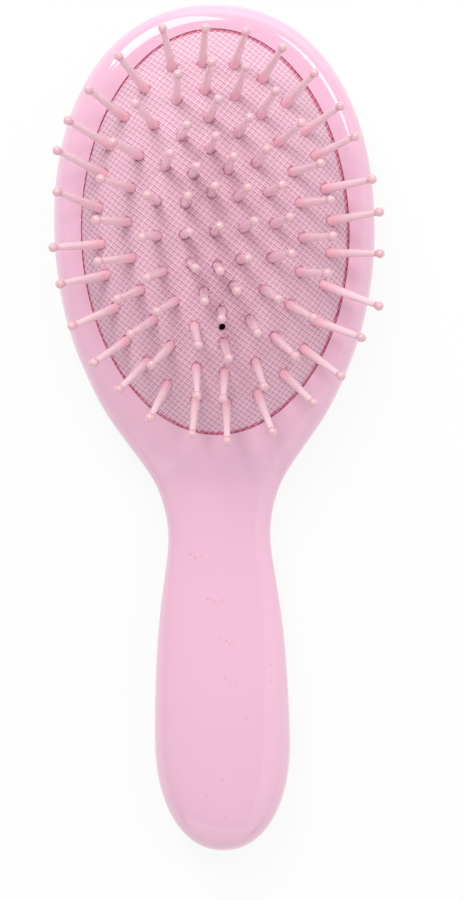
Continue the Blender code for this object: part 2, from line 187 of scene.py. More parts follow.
def half_outline():
    """Points (x, y, spine's y) of the +X side, from the handle's end to the head's top."""
    points = []
    for step in range(END_COLUMNS):
        angle = math.pi / 2 * step / END_COLUMNS
        across = HANDLE_WIDTH / 2 * math.sin(angle) ** (2 / HANDLE_ROUNDNESS)
        along = HANDLE_REACH * math.cos(angle) ** (2 / HANDLE_ROUNDNESS)
        points.append((across, handle_y - along, handle_y - HANDLE_SPINE_SHARE * along))
    ys = np.linspace(handle_y, head_y, SIDE_COLUMNS, endpoint=False)
    stations, widths = side_stations()
    points += [(x, y, y) for x, y in zip(spline(stations, widths, ys), ys)]
    for step in range(TOP_COLUMNS + 1):
        angle = math.pi / 2 * (1 - step / TOP_COLUMNS)
        across = HEAD_WIDTH / 2 * math.sin(angle) ** (2 / HEAD_ROUNDNESS)
        along = HEAD_REACH * max(math.cos(angle), 0) ** (2 / HEAD_ROUNDNESS)
        points.append((across, head_y + along, head_y + HEAD_SPINE_SHARE * along))
    return points


def rimness(y):
    """0 on the handle and neck, whose front is round right across, 1 where it is a rim."""
    return ease((y - neck_y - WALL) / (opening_end_y + BACK_SHOULDER - neck_y))


def column_places(outer, inner, rows):
    """Points of a column, each a distance in from its outline point and a height."""
    start = Vector((outer[0], outer[1], 0))
    inward = Vector((inner[0] - outer[0], inner[1] - outer[1], 0)).normalized()
    return [start + inward * distance + Vector((0, 0, height)) for distance, height in rows]


def edge_rows(foot, toward, inset, turn_height):
    """Rounded outer corner at the seam, then in under it as far as the tongue's step."""
    corner = [
        (EDGE_ROUND * (1 - math.sin(a)), foot + toward * EDGE_ROUND * (1 - math.cos(a)))
        for a in (0.25 * math.pi, 0)
    ]
    return [(0, foot + toward * EDGE_ROUND)] + corner + [(inset, foot), (inset, turn_height)]


def back_rows(reach, spine_y):
    land_end = handle_y + HANDLE_LAND_LENGTH / 2
    bottom = along_stations(
        spine_y, ((land_end, 0), (neck_y, NECK_LIFT), (opening_end_y + BACK_SHOULDER, 0))
    )
    handle_shoulder = reach * (1 - HANDLE_LAND_SHARE)
    shoulder = handle_shoulder + (BACK_SHOULDER - handle_shoulder) * rimness(spine_y)
    shoulder = min(shoulder, reach * SHOULDER_LIMIT)
    foot = SEAM_HEIGHT - SEAM_GAP / 2
    widest = foot - EDGE_ROUND
    tongue_top = SEAM_HEIGHT + TONGUE_RISE
    inner_shoulder = shoulder - WALL

    def outside(distance):
        return distance, widest + (bottom - widest) * quarter(distance / shoulder)

    def inside(distance):
        share = (distance - WALL) / inner_shoulder
        return distance, foot + (bottom + SKIN - foot) * quarter(share)

    flats = [reach + (shoulder - reach) * step / FLAT_ROWS for step in range(FLAT_ROWS)]
    turns = [math.pi / 2 * (1 - step / SHOULDER_ROWS) for step in range(SHOULDER_ROWS)]
    rows = [outside(distance) for distance in flats]
    rows += [outside(shoulder * (1 - math.cos(turn))) for turn in turns]
    rows += edge_rows(foot, -1, TONGUE_INSET + TONGUE_CLEARANCE, tongue_top)
    rows += [(WALL, tongue_top), (WALL, foot)]
    rows += [inside(WALL + inner_shoulder * (1 - math.cos(turn))) for turn in turns[-2::-2]]
    rows += [inside(shoulder), inside(reach)]
    return rows


def placed_grid(places):
    """A grid whose corners stand at their places, given as columns of rows."""
    columns, rows = len(places), len(places[0])
    bm = bmesh.new()
    bmesh.ops.create_grid(bm, x_segments=columns - 1, y_segments=rows - 1, size=1)
    bm.verts.ensure_lookup_table()
    for index, vert in enumerate(bm.verts):
        row, column = divmod(index, columns)
        vert.co = places[column][row]
    return bm


def finished(name, bm, material, sharp_angle=35, merge=0.001 * MM):
    """A smooth object from a bmesh, with its doubles merged and its faces turned outwards."""
    bmesh.ops.remove_doubles(bm, verts=bm.verts, dist=merge)
    bmesh.ops.recalc_face_normals(bm, faces=bm.faces)
    mesh = bpy.data.meshes.new(name)
    bm.to_mesh(mesh)
    bm.free()
    mesh.shade_smooth()
    mesh.set_sharp_from_angle(angle=math.radians(sharp_angle))
    obj = bpy.data.objects.new(name, mesh)
    bpy.context.scene.collection.objects.link(obj)
    if material:
        mesh.materials.append(material)
    return obj


def both_halves(bm):
    geometry = bm.verts[:] + bm.edges[:] + bm.faces[:]
    bmesh.ops.mirror(bm, geom=geometry, axis="X", merge_dist=0.0005 * MM)
    return bm


def node(tree, kind, inputs=(), **settings):
    """New node, with its inputs set to values or joined to other nodes' outputs."""
    made = tree.nodes.new(kind)
    for name, value in settings.items():
        setattr(made, name, value)
    for key, value in dict(inputs).items():
        if isinstance(value, bpy.types.NodeSocket):
            tree.links.new(value, made.inputs[key])
        else:
            made.inputs[key].default_value = value
    return made


def maths(tree, operation, first, second=0.0, third=0.0):
    values = {0: first, 1: second, 2: third}
    return node(tree, "ShaderNodeMath", values, operation=operation).outputs[0]


def blended(tree, share, first, second):
    """Colour between two colours, by a share."""
    mix = node(tree, "ShaderNodeMix", {"Factor": share, 6: first, 7: second}, data_type="RGBA")
    return mix.outputs[2]


def new_material(name):
    material = bpy.data.materials.new(name)
    material.use_nodes = True
    tree = material.node_tree
    shader = tree.nodes["Principled BSDF"]
    place = node(tree, "ShaderNodeTexCoord").outputs["Object"]
    return material, tree, shader, place


BODY_PINK = (0.890, 0.520, 0.675, 1)
BODY_PINK_DEEP = (0.860, 0.490, 0.650, 1)
SPECK_PINK = (0.80, 0.26, 0.36, 1)
SPECK_STRENGTH = 0.45
SPECK_SPARE = 0.25  # millimetres that the ragged edge takes off again
# Small moulding specks on the handle's front, as (x, y, radius) in millimetres
SPECKS = (
    (-6.5, -26.5, 0.36), (-5.4, -27.3, 0.3), (-4.0, -27.1, 0.22), (-2.9, -36.2, 0.28),
    (-1.9, -36.4, 0.26), (-1.3, -36.9, 0.24), (0.1, -36.5, 0.24), (-4.1, -45.0, 0.2),
    (-0.2, -45.0, 0.24), (0.9, -45.3, 0.3), (1.6, -46.0, 0.26), (2.3, -45.6, 0.2),
    (0.5, -53.1, 0.26), (1.8, -54.1, 0.24), (2.9, -54.4, 0.2), (10.5, -50.7, 0.22),
    (10.4, -54.4, 0.2), (-1.0, -61.6, 0.2), (5.1, -62.1, 0.2), (-0.3, -75.0, 0.24),
    (2.6, -75.8, 0.2), (-3.7, -78.6, 0.2), (5.8, -80.9, 0.2), (-9.6, -73.4, 0.2),
    (0.1, -83.2, 0.18),
)


def glossy_plastic():
    material, tree, shader, place = new_material("glossy_pink_plastic")
    cloudy = node(tree, "ShaderNodeTexNoise", {"Vector": place, "Scale": 22, "Detail": 2})
    colour = blended(tree, cloudy.outputs["Fac"], BODY_PINK, BODY_PINK_DEEP)
    flat = node(tree, "ShaderNodeVectorMath", {0: place, 1: (1, 1, 0)}, operation="MULTIPLY")
    grain = node(tree, "ShaderNodeTexNoise", {"Vector": place, "Scale": 2500, "Detail": 1})
    ragged = maths(tree, "MULTIPLY", grain.outputs["Fac"], 0.5 * MM)
    height = node(tree, "ShaderNodeSeparateXYZ", {0: place}).outputs[2]
    above = maths(tree, "GREATER_THAN", height, SEAM_HEIGHT)
    front = maths(tree, "MULTIPLY", above, SPECK_STRENGTH)
    for x, y, radius in SPECKS:
        middle = (x * MM, y * MM, 0)
        away = node(
            tree, "ShaderNodeVectorMath", {0: flat.outputs[0], 1: middle}, operation="DISTANCE"
        )
        fuzzy = maths(tree, "ADD", away.outputs["Value"], ragged)
        inside = maths(tree, "LESS_THAN", fuzzy, (radius + SPECK_SPARE) * MM)
        colour = blended(tree, maths(tree, "MULTIPLY", inside, front), colour, SPECK_PINK)
    tree.links.new(colour, shader.inputs["Base Color"])
    smudge = node(tree, "ShaderNodeTexNoise", {"Vector": place, "Scale": 90, "Detail": 3})
    rough = node(
        tree, "ShaderNodeMapRange",
        {"Value": smudge.outputs["Fac"], "To Min": 0.06, "To Max": 0.1},
    )
    tree.links.new(rough.outputs[0], shader.inputs["Roughness"])
    waves = node(tree, "ShaderNodeTexNoise", {"Vector": place, "Scale": 60, "Detail": 1})
    bump = node(
        tree, "ShaderNodeBump",
        {"Height": waves.outputs["Fac"], "Strength": 0.04, "Distance": 0.2 * MM},
    )
    tree.links.new(bump.outputs[0], shader.inputs["Normal"])
    shader.inputs["IOR"].default_value = 1.56
    shader.inputs["Coat Weight"].default_value = 1.0
    shader.inputs["Coat Roughness"].default_value = 0.04
    return material


body_plastic = glossy_plastic()
outline = half_outline()
columns = []
for x, y, spine_y in outline:
    reach = math.hypot(x, spine_y - y)
    columns.append(column_places((x, y), (0, spine_y), back_rows(reach, spine_y)))
back_shell = finished("back_shell_moulding", both_halves(placed_grid(columns)), body_plastic)
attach(back_shell, "brush_body")
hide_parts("back_shell")

# Clamp wall
# An oval wall that stands on the back shell's floor and holds the cushion's flange up against
# the front shell's lip.
PAD_Y = 42.675 * MM
OPENING_A = 28.8 * MM
OPENING_B = 43.475 * MM
RIM_TOP_WIDTH = 5.6 * MM
CLAMP_INSET = 0.1 * MM
CLAMP_WALL = 1.8 * MM
CLAMP_FOOT_HEIGHT = 1.6 * MM
CLAMP_TOP_HEIGHT = 8.0 * MM
OVAL_COLUMNS = 144


def oval_point(outside, angle, height):
    """Point at a distance outside the lip's edge."""
    x = (OPENING_A + outside) * math.cos(angle)
    y = (OPENING_B + outside) * math.sin(angle)
    return Vector((x, PAD_Y + y, height))


def oval_columns(rows):
    angles = [2 * math.pi * step / OVAL_COLUMNS for step in range(OVAL_COLUMNS + 1)]
    return [[oval_point(outside, angle, height) for outside, height in rows] for angle in angles]


outside = CLAMP_INSET + CLAMP_WALL
clamp_rows = (
    (CLAMP_INSET, CLAMP_TOP_HEIGHT), (outside, CLAMP_TOP_HEIGHT), (outside, CLAMP_FOOT_HEIGHT),
    (CLAMP_INSET, CLAMP_FOOT_HEIGHT), (CLAMP_INSET, CLAMP_TOP_HEIGHT),
)
clamp_wall = finished("clamp_wall", placed_grid(oval_columns(clamp_rows)), body_plastic)
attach(clamp_wall, "brush_body")

# Front shell
# The rim round the cushion and the front of neck and handle, moulded in the same pink plastic. The
# rim rises from the lip over a rounded crest and falls steeply to the seam.
RIM_HEIGHT = 14.0 * MM
NECK_TOP_HEIGHT = 12.3 * MM
HANDLE_TOP_HEIGHT = 15.6 * MM
RIM_SHOULDER = 5.0 * MM
FRONT_POWER = 2.5
LIP_TOP_HEIGHT = 13.85 * MM
LIP_UNDERSIDE_HEIGHT = 10.6 * MM
BEVEL_WIDTH = 2.2 * MM
BEVEL_POWER = 1.6
SHOULDER_Y = -13.0 * MM  # where the front starts to rise from the neck to the rim
FORK_Y = -10.0 * MM  # outline points above this look to the opening, those below to the middle
FAN_ANGLE = math.radians(-10)  # where the columns start to fan towards the neck
SHOULDER_TURN = math.radians(75)
CREST_ROWS = 14
CREST_SPACING = 1.5
ROOF_SHARES = (0.05, 0.15, 0.3, 0.5, 0.75, 1)  # rows of the inside, from the wall inwards


def fan_ends():
    """Where each column of the front shell ends: on the middle line or on the lip's edge."""
    run = (opening_end_y - neck_y, FORK_Y - neck_y)
    raw = [
        math.atan2((y - PAD_Y) / (OPENING_B + RIM_TOP_WIDTH), x / (HEAD_WIDTH / 2))
        for x, y, _ in outline
    ]
    first = min(i for i, (x, y, _) in enumerate(outline) if y > FORK_Y)
    spread = math.pi / 2 + raw[first]
    ends = []
    for i, (x, y, spine_y) in enumerate(outline):
        if i >= first:
            fan = min((raw[i] - FAN_ANGLE) / (raw[first] - FAN_ANGLE), 1)
            angle = raw[i] - spread * max(fan, 0) ** 2
            ends.append(oval_point(0, angle, 0).xy)
        elif y > neck_y:
            share = (y - neck_y) / run[1]
            bend = run[1] / run[0]
            ends.append(Vector((0, neck_y + run[0] * (bend * share + (1 - bend) * share**2))))
        else:
            ends.append(Vector((0, spine_y)))
    return ends


def lip_drop(x, y):
    """How far the face lies below the crest's level, near the lip."""
    share = math.hypot(x / OPENING_A, (y - PAD_Y) / OPENING_B)
    steepness = math.hypot(x / OPENING_A**2, (y - PAD_Y) / OPENING_B**2) / share
    away = min(max((share - 1) / steepness / BEVEL_WIDTH, 0), 1)
    return (RIM_HEIGHT - LIP_TOP_HEIGHT) * (1 - away) ** BEVEL_POWER


def front_top(y):
    stations = (
        (handle_y, HANDLE_TOP_HEIGHT), (neck_y, NECK_TOP_HEIGHT), (SHOULDER_Y, NECK_TOP_HEIGHT),
        (opening_end_y - BEVEL_WIDTH, RIM_HEIGHT),
    )
    return along_stations(y, stations)


def front_column(outer, inner):
    x, y = outer[:2]
    start = Vector((x, y))
    reach = (inner - start).length
    inward = (inner - start).normalized()
    rim = rimness(y)
    shoulder = x + (RIM_SHOULDER - x) * rim
    if inner.x == 0 or y > head_y:
        shoulder = reach + (RIM_SHOULDER - reach) * rim
    shoulder = min(max(shoulder, RIM_SHOULDER), max(reach, RIM_SHOULDER))
    foot = SEAM_HEIGHT + SEAM_GAP / 2
    widest = foot + EDGE_ROUND
    inner_foot = SEAM_HEIGHT + TONGUE_RISE + TONGUE_CLEARANCE

    def outside(distance):
        place = start + inward * distance
        height = widest + (front_top(place.y) - widest) * quarter(distance / shoulder, FRONT_POWER)
        return distance, height - lip_drop(*place)

    def inside(distance):
        place = start + inward * distance
        roof = front_top(place.y) - SKIN
        roof += (LIP_UNDERSIDE_HEIGHT - RIM_HEIGHT + SKIN) * rim
        share = (distance - WALL) / max(shoulder - WALL, WALL / 4)
        return distance, inner_foot + (roof - inner_foot) * quarter(share)

    turned = shoulder * (1 - math.cos(SHOULDER_TURN))
    crests = [
        turned + (reach - turned) * (1 - (1 - step / CREST_ROWS) ** CREST_SPACING)
        for step in range(CREST_ROWS, 0, -1)
    ]
    turns = [SHOULDER_TURN * step / SHOULDER_ROWS for step in range(SHOULDER_ROWS, 0, -1)]
    rows = [outside(distance) for distance in crests]
    rows += [outside(shoulder * (1 - math.cos(turn))) for turn in turns]
    rows += edge_rows(foot, 1, TONGUE_INSET, inner_foot)
    rows += [(WALL, inner_foot)]
    inner_span = reach - WALL
    rows += [inside(WALL + inner_span * share) for share in ROOF_SHARES]
    return column_places((x, y), inner, rows)


ends = fan_ends()
columns = [front_column(outer, inner) for outer, inner in zip(outline, ends)]
bm = both_halves(placed_grid(columns))
bmesh.ops.remove_doubles(bm, verts=bm.verts, dist=0.001 * MM)
lip_edges = [edge for edge in bm.edges if edge.is_boundary]
bmesh.ops.bridge_loops(bm, edges=lip_edges)
front_shell = finished("front_shell_moulding", bm, body_plastic)
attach(front_shell, "brush_body")
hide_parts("front_shell")

# Rubber cushion
# A moulded air cushion of soft rubber, domed and taut, with a flange under the lip and a small vent
# hole below its middle. The pins are pushed through it and held by their feet.
DOME_A = 28.5 * MM
DOME_B = 43.175 * MM
DOME_EDGE_HEIGHT = 13.6 * MM
DOME_HEIGHT = 8.0 * MM
DOME_POWER = 3.2
FACING_THICKNESS = 0.6 * MM
FACING_GAP = 0.05 * MM
RUBBER_THICKNESS = 2.0 * MM
FLANGE_TOP = 10.3 * MM
FLANGE_BOTTOM = 8.3 * MM
FLANGE_REACH = 2.3 * MM
FLANGE_ROOT = 2.6 * MM
FLANGE_NECK = 0.35 * MM  # inside the lip's edge, where the dome turns into the flange
DOME_COLUMNS = 192
DOME_ROWS = 40
DOME_SPACING = 1.3  # more than 1 draws the rows together at the edge
VENT = (0.884 * MM, -20.28 * MM)  # from the pad's centre
VENT_RADIUS = 0.75 * MM
HOLE_SIDES = 20


def dome_normal(x, y):
    share = math.hypot(x / DOME_A, y / DOME_B)
    if share < 1e-6:
        return Vector((0, 0, 1))
    steepness = DOME_HEIGHT * DOME_POWER * share ** (DOME_POWER - 2)
    return Vector((steepness * x / DOME_A**2, steepness * y / DOME_B**2, 1)).normalized()


def dome_point(x, y, depth=0.0):
    """Point under the fabric's face, square to the dome. x and y are from the pad's centre."""
    share = math.hypot(x / DOME_A, y / DOME_B)
    height = DOME_EDGE_HEIGHT + DOME_HEIGHT * (1 - share**DOME_POWER)
    return Vector((x, PAD_Y + y, height)) - dome_normal(x, y) * depth


def dome_column(angle, depth, spare):
    """Points of the dome from its top to its edge, closer together at the edge."""
    shares = [1 - (1 - step / DOME_ROWS) ** DOME_SPACING for step in range(DOME_ROWS + 1)]
    across, along = (DOME_A + spare) * math.cos(angle), (DOME_B + spare) * math.sin(angle)
    return [dome_point(share * across, share * along, depth) for share in shares]


def dome_solid(name, material, upper, lower, spare=0.0, flange_rows=()):
    columns = []
    for step in range(DOME_COLUMNS + 1):
        angle = 2 * math.pi * step / DOME_COLUMNS
        flange = [oval_point(outside, angle, height) for outside, height in flange_rows]
        outer, inner = dome_column(angle, upper, spare), dome_column(angle, lower, spare)
        columns.append(outer + flange + inner[::-1])
    return finished(name, placed_grid(columns), material, sharp_angle=50)


def rubber():
    material, tree, shader, place = new_material("cushion_rubber")
    cloudy = node(tree, "ShaderNodeTexNoise", {"Vector": place, "Scale": 150, "Detail": 3})
    colour = blended(tree, cloudy.outputs["Fac"], (0.66, 0.14, 0.28, 1), (0.52, 0.10, 0.21, 1))
    tree.links.new(colour, shader.inputs["Base Color"])
    grain = node(tree, "ShaderNodeTexNoise", {"Vector": place, "Scale": 3000, "Detail": 2})
    rough = node(
        tree, "ShaderNodeMapRange",
        {"Value": grain.outputs["Fac"], "To Min": 0.5, "To Max": 0.65},
    )
    tree.links.new(rough.outputs[0], shader.inputs["Roughness"])
    return material


face_depth = FACING_THICKNESS + FACING_GAP
flange_rows = (
    (-FLANGE_NECK, FLANGE_TOP), (FLANGE_REACH, FLANGE_TOP), (FLANGE_REACH, FLANGE_BOTTOM),
    (-FLANGE_ROOT, FLANGE_BOTTOM),
)
cushion = dome_solid(
    "rubber_cushion", rubber(), face_depth, face_depth + RUBBER_THICKNESS, flange_rows=flange_rows
)

# Woven facing
# A thin diagonal fabric bonded to the cushion: pale thread in a raised square net of 1.05 mm pitch,
# stretched smooth over the dome, with small mauve shadows painted into its meshes beside the
# threads and a fine crimson edge beside the lip, partly the rubber between thinning threads and
# partly painted shade under the lip.
# The shadow beside each thread is painted shade in the colour; the threads cast none of it.
THREAD_SETS = (  # turns of the pattern per metre along x and y, thread strength, shadow depth
    ((-575.5, -744.8), 0.75, 0.9),
    ((763.5, -578.3), 1.0, 0.5),
)
THREAD_STOPS = (  # place in the turn, and strength of the thread there
    (0, 1), (0.06, 0.95), (0.12, 0), (0.42, 0), (0.47, 0.35), (0.53, 0.35), (0.58, 0),
    (0.88, 0), (0.94, 0.95), (1, 1),
)
SHADE_STOPS = (  # the same for its shadow
    (0, 0), (0.14, 0), (0.19, 1), (0.29, 1), (0.37, 0.15), (0.69, 0), (0.74, 0.2), (0.80, 0),
)
THREAD_COVER = 0.85  # how much of the crimson edge a thread hides
NET_STRETCH = 50.0 * MM * MM
FACING_SPARE = 0.28 * MM  # past the dome, nearly as far as the lip
FACING_A = DOME_A + FACING_SPARE
FACING_B = DOME_B + FACING_SPARE
THREAD_PINK = (0.970, 0.720, 0.820, 1)
MESH_PINK = (0.800, 0.465, 0.585, 1)
# Painted shadow: the mauve that each raised thread's shade would leave in its mesh.
PAINTED_SHADOW_MAUVE = (0.380, 0.140, 0.250, 1)
# Painted shade: the crimson edge is partly the rubber seen between thinning threads and partly the
# shade under the lip, darker than the rubber itself.
EDGE_CRIMSON_AND_SHADE = (0.580, 0.095, 0.205, 1)
EDGE_WIDTH = 0.4 * MM  # of the crimson edge where the threads thin out
EDGE_AXIS = (0.25, 0.97, 0)
EDGE_SWING = 0.3 * MM  # more of it along that axis, at the top and the bottom
EDGE_LEAN = 0.22 * MM  # more of it on the right, less on the left


def over_a_turn(tree, phase, stops):
    """Strength that follows the stops over one turn of the pattern."""
    strength = node(tree, "ShaderNodeValToRGB", {"Fac": phase}).outputs["Color"]
    ramp = strength.node.color_ramp
    ramp.elements[0].position, ramp.elements[1].position = stops[0][0], stops[-1][0]
    for position, _ in stops[1:-1]:
        ramp.elements.new(position)
    for element, (_, level) in zip(ramp.elements, stops):
        element.color = (level, level, level, 1)
    return strength


def woven_facing():
    material, tree, shader, place = new_material("woven_facing")
    away = node(tree, "ShaderNodeVectorMath", {0: place, 1: (0, -PAD_Y, 0)}, operation="ADD")
    flat = node(
        tree, "ShaderNodeVectorMath", {0: away.outputs[0], 1: (1, 1, 0)}, operation="MULTIPLY"
    ).outputs[0]
    scaled = node(
        tree, "ShaderNodeVectorMath", {0: flat, 1: (1 / FACING_A, 1 / FACING_B, 0)},
        operation="MULTIPLY",
    )
    share = node(
        tree, "ShaderNodeVectorMath", {0: scaled.outputs[0]}, operation="LENGTH"
    ).outputs["Value"]
    reach = node(tree, "ShaderNodeVectorMath", {0: flat}, operation="LENGTH").outputs["Value"]
    slack = maths(tree, "MULTIPLY", maths(tree, "POWER", share, 2 * DOME_POWER), NET_STRETCH)
    squared = maths(tree, "MAXIMUM", maths(tree, "POWER", reach, 2), 1e-8)
    slack = maths(tree, "DIVIDE", slack, squared)
    drift = node(tree, "ShaderNodeTexNoise", {"Vector": flat, "Scale": 120, "Detail": 1})
    wander = node(
        tree, "ShaderNodeVectorMath", {0: drift.outputs["Color"], 1: (0.5, 0.5, 0.5)},
        operation="SUBTRACT",
    )
    wander = node(
        tree, "ShaderNodeVectorMath", {0: wander.outputs[0], "Scale": 0.5 * MM}, operation="SCALE"
    )
    grown = node(
        tree, "ShaderNodeVectorMath", {0: flat, "Scale": maths(tree, "ADD", slack, 1.0)},
        operation="SCALE",
    )
    cloth = node(
        tree, "ShaderNodeVectorMath", {0: grown.outputs[0], 1: wander.outputs[0]}, operation="ADD"
    ).outputs[0]
    ridges, shades = [], []
    for turns, strength, depth in THREAD_SETS:
        run = node(
            tree, "ShaderNodeVectorMath", {0: cloth, 1: (*turns, 0)}, operation="DOT_PRODUCT"
        ).outputs["Value"]
        line = maths(tree, "FLOOR", maths(tree, "ADD", run, 0.5))
        odd = node(tree, "ShaderNodeTexWhiteNoise", {"W": line}, noise_dimensions="1D")
        phase = maths(tree, "FRACT", run)
        ridge = over_a_turn(tree, phase, THREAD_STOPS)
        shade = over_a_turn(tree, phase, SHADE_STOPS)
        strong = maths(tree, "MULTIPLY_ADD", odd.outputs["Value"], 0.3 * strength, 0.7 * strength)
        ridges.append(maths(tree, "MULTIPLY", ridge, strong))
        shades.append(maths(tree, "MULTIPLY", shade, depth))
    # Painted shade: a mauve band on the lower side of each thread stands in for the shadow it would
    # cast.
    ridge = maths(tree, "MAXIMUM", *ridges)
    shade = maths(tree, "MAXIMUM", *shades)
    shade = maths(tree, "MULTIPLY", shade, maths(tree, "SUBTRACT", 1.0, ridge))
    uneven = node(tree, "ShaderNodeTexNoise", {"Vector": flat, "Scale": 900, "Detail": 2})
    uneven = maths(tree, "MULTIPLY_ADD", uneven.outputs["Fac"], 0.6, 0.55)
    shade = maths(tree, "MULTIPLY", shade, uneven)
    colour = blended(tree, ridge, MESH_PINK, THREAD_PINK)
    colour = blended(tree, shade, colour, PAINTED_SHADOW_MAUVE)
    # Painted shade at the edge beside the lip, partly the rubber's crimson between thinning
    # threads: wider along the edge axis and to the right.
    side = node(tree, "ShaderNodeVectorMath", {0: flat}, operation="NORMALIZE").outputs[0]
    lean = node(
        tree, "ShaderNodeVectorMath", {0: side, 1: (1, 0, 0)}, operation="DOT_PRODUCT"
    ).outputs["Value"]
    side = node(
        tree, "ShaderNodeVectorMath", {0: side, 1: EDGE_AXIS}, operation="DOT_PRODUCT"
    ).outputs["Value"]
    side = maths(tree, "ABSOLUTE", side)
    width = maths(tree, "MULTIPLY_ADD", side, EDGE_SWING, EDGE_WIDTH)
    width = maths(tree, "MULTIPLY_ADD", lean, EDGE_LEAN, width)
    from_edge = maths(tree, "SUBTRACT", maths(tree, "DIVIDE", reach, share), reach)
    within = maths(tree, "SUBTRACT", width, from_edge)
    edge = node(
        tree, "ShaderNodeMapRange",
        {"Value": within, "From Min": -0.1 * MM, "From Max": 0.1 * MM},
        interpolation_type="SMOOTHSTEP",
    )
    covered = maths(tree, "MULTIPLY_ADD", ridge, -THREAD_COVER, 1.0)
    colour = blended(tree, maths(tree, "MULTIPLY", edge.outputs[0], covered), colour, EDGE_CRIMSON_AND_SHADE)
    tree.links.new(colour, shader.inputs["Base Color"])
    shader.inputs["Roughness"].default_value = 0.7
    shader.inputs["Sheen Weight"].default_value = 0.15
    fuzz = node(tree, "ShaderNodeTexNoise", {"Vector": place, "Scale": 4000, "Detail": 2})
    height = maths(tree, "MULTIPLY_ADD", fuzz.outputs["Fac"], 0.25, ridge)
    bump = node(
        tree, "ShaderNodeBump", {"Height": height, "Strength": 0.5, "Distance": 0.15 * MM}
    )
    tree.links.new(bump.outputs[0], shader.inputs["Normal"])
    return material


facing = dome_solid(
    "woven_facing", woven_facing(), 0.0, FACING_THICKNESS, spare=FACING_A - DOME_A
)

# Pins
# 81 turned pins in salmon pink plastic, a little clouded, each tapering from the fabric to a ball
# tip, with a foot under the rubber. Three stand on the middle line and the rest in four rings.
# A thin bar under the rubber joins the feet of neighbouring pins.
PIN_LENGTH = 16.3 * MM
BALL_RADIUS = 1.0 * MM
PIN_SIDES = 20
PIN_PROFILE = (  # radius and height above the fabric, in millimetres
    (0.0, -4.2), (1.6, -4.2), (1.8, -4.0), (1.8, -3.6), (1.5, -3.45), (1.1, -3.3), (1.1, -1.5),
    (1.08, 0.0), (1.05, 1.2), (0.99, 3.0), (0.92, 5.0), (0.85, 7.5), (0.78, 10.0), (0.72, 12.2),
    (0.68, 13.6), (0.66, 14.3),
)
BALL_TURNS = (-48, -30, -12, 8, 28, 48, 68)
BASE_SLACK = 1.0 * MM  # a pin stands at most this far from its even place in the ring
BAR_WIDTH = 1.6 * MM
BAR_THICKNESS = 0.9 * MM
BAR_DEPTH = 3.9 * MM
STRIP_PIN_COUNT = 4
CENTRE_PITCH = 7.92 * MM
RING_SAMPLES = 721
SIGHT_ROUNDS = 8  # of finding where a line of sight meets the dome
PIN_SALMON = (0.915, 0.525, 0.615, 1)
PIN_PALE = (0.900, 0.670, 0.730, 1)
PIN_TIP = (0.780, 0.480, 0.540, 1)
# Each ring clockwise from the head's top: its half-width and half-length in millimetres, the share
# of a pitch to its first pin, and the picture's pixels of each pin's ball and base
CENTRE_PINS = (((215, 186), (212, 193)), ((219.5, 226), (215, 232)), ((220, 271), (217.5, 266)))
RING_1 = (5.86, 16.89, 0.9, (
    ((233.5, 156.5), (226, 170)), ((248, 187.5), (238, 197)), ((254.5, 221), (243.5, 228)),
    ((248, 258.5), (240.5, 259.5)), ((237, 291), (233.5, 286)), ((221.5, 319), (221.5, 311)),
    ((204.5, 301.5), (204, 292)), ((195.5, 268), (191, 263)), ((189.5, 232), (184.5, 234.5)),
    ((188, 196), (184.5, 203)), ((196.5, 166.5), (193, 174)), ((216, 136), (210, 149)),
))
RING_2 = (12.11, 23.43, 0.86, (
    ((249.5, 117.5), (238.5, 133)), ((266.5, 149), (256.5, 163)), ((282, 185), (268, 192)),
    ((289.5, 217), (274.5, 224)), ((291.5, 253.5), (272, 258)), ((278, 299), (264.5, 290)),
    ((257.5, 333), (250, 320)), ((228.5, 358.5), (224, 343)), ((198.5, 345), (194.5, 326)),
    ((157, 311.5), (174.5, 301)), ((147, 278), (163, 271)), ((142, 237), (157, 236)),
    ((147, 195), (156, 201)), ((170, 153.5), (165, 166)), ((187, 125), (181.5, 136)),
    ((218, 99), (209, 118)),
))
RING_3 = (18.36, 29.98, 0.76, (
    ((246, 67), (235.5, 96)), ((276, 91), (261, 115)), ((301.5, 123), (279, 142)),
    ((320.5, 163.5), (293, 172)), ((330.5, 200), (300, 203)), ((332.5, 236), (303, 238)),
    ((327, 273), (300, 272)), ((313.5, 318), (290, 305)), ((295, 356), (275, 337)),
    ((264, 386.5), (256, 364)), ((223, 399), (224.5, 373)), ((197, 396), (196.5, 368)),
    ((151.5, 365), (170, 346)), ((131, 334), (153, 320)), ((117.5, 299), (140, 290)),
    ((98, 261.5), (131, 258)), ((96, 220), (127, 222)), ((100.5, 179), (131, 188)),
    ((113, 142), (139, 156)), ((135, 103.5), (154, 124)), ((178, 74), (176.5, 100)),
    ((211.5, 62), (205, 90)),
))
RING_4 = (24.61, 36.52, 0.71, (
    ((246, 31.5), (234.5, 65)), ((282.5, 47.5), (262.5, 79)), ((314.5, 73), (285.5, 104)),
    ((340.5, 106), (304, 132)), ((355, 136.5), (315, 156)), ((372, 179.5), (325, 189)),
    ((379.5, 212), (331, 221)), ((380, 253.5), (330, 253)), ((379, 306), (324, 285)),
    ((361.5, 337.5), (314, 320)), ((341, 376), (304, 349)), ((313.5, 403), (284, 374)),
    ((272.5, 432), (258, 394)), ((227, 441), (226.5, 403)), ((192, 434), (196, 400)),
    ((150, 418), (167, 385)), ((119, 389.5), (147, 362)), ((93.5, 363), (126, 341)),
    ((72, 326), (115, 308)), ((60, 284), (106, 275)), ((53, 247.5), (101, 244)),
    ((57, 192), (99, 208)), ((57, 150.5), (103, 173)), ((68, 120.5), (111, 146)),
    ((88.5, 89.5), (125, 117)), ((118.5, 56), (145, 89)), ((162.5, 28), (172, 67)),
    ((205.5, 28), (202.5, 63)),
))


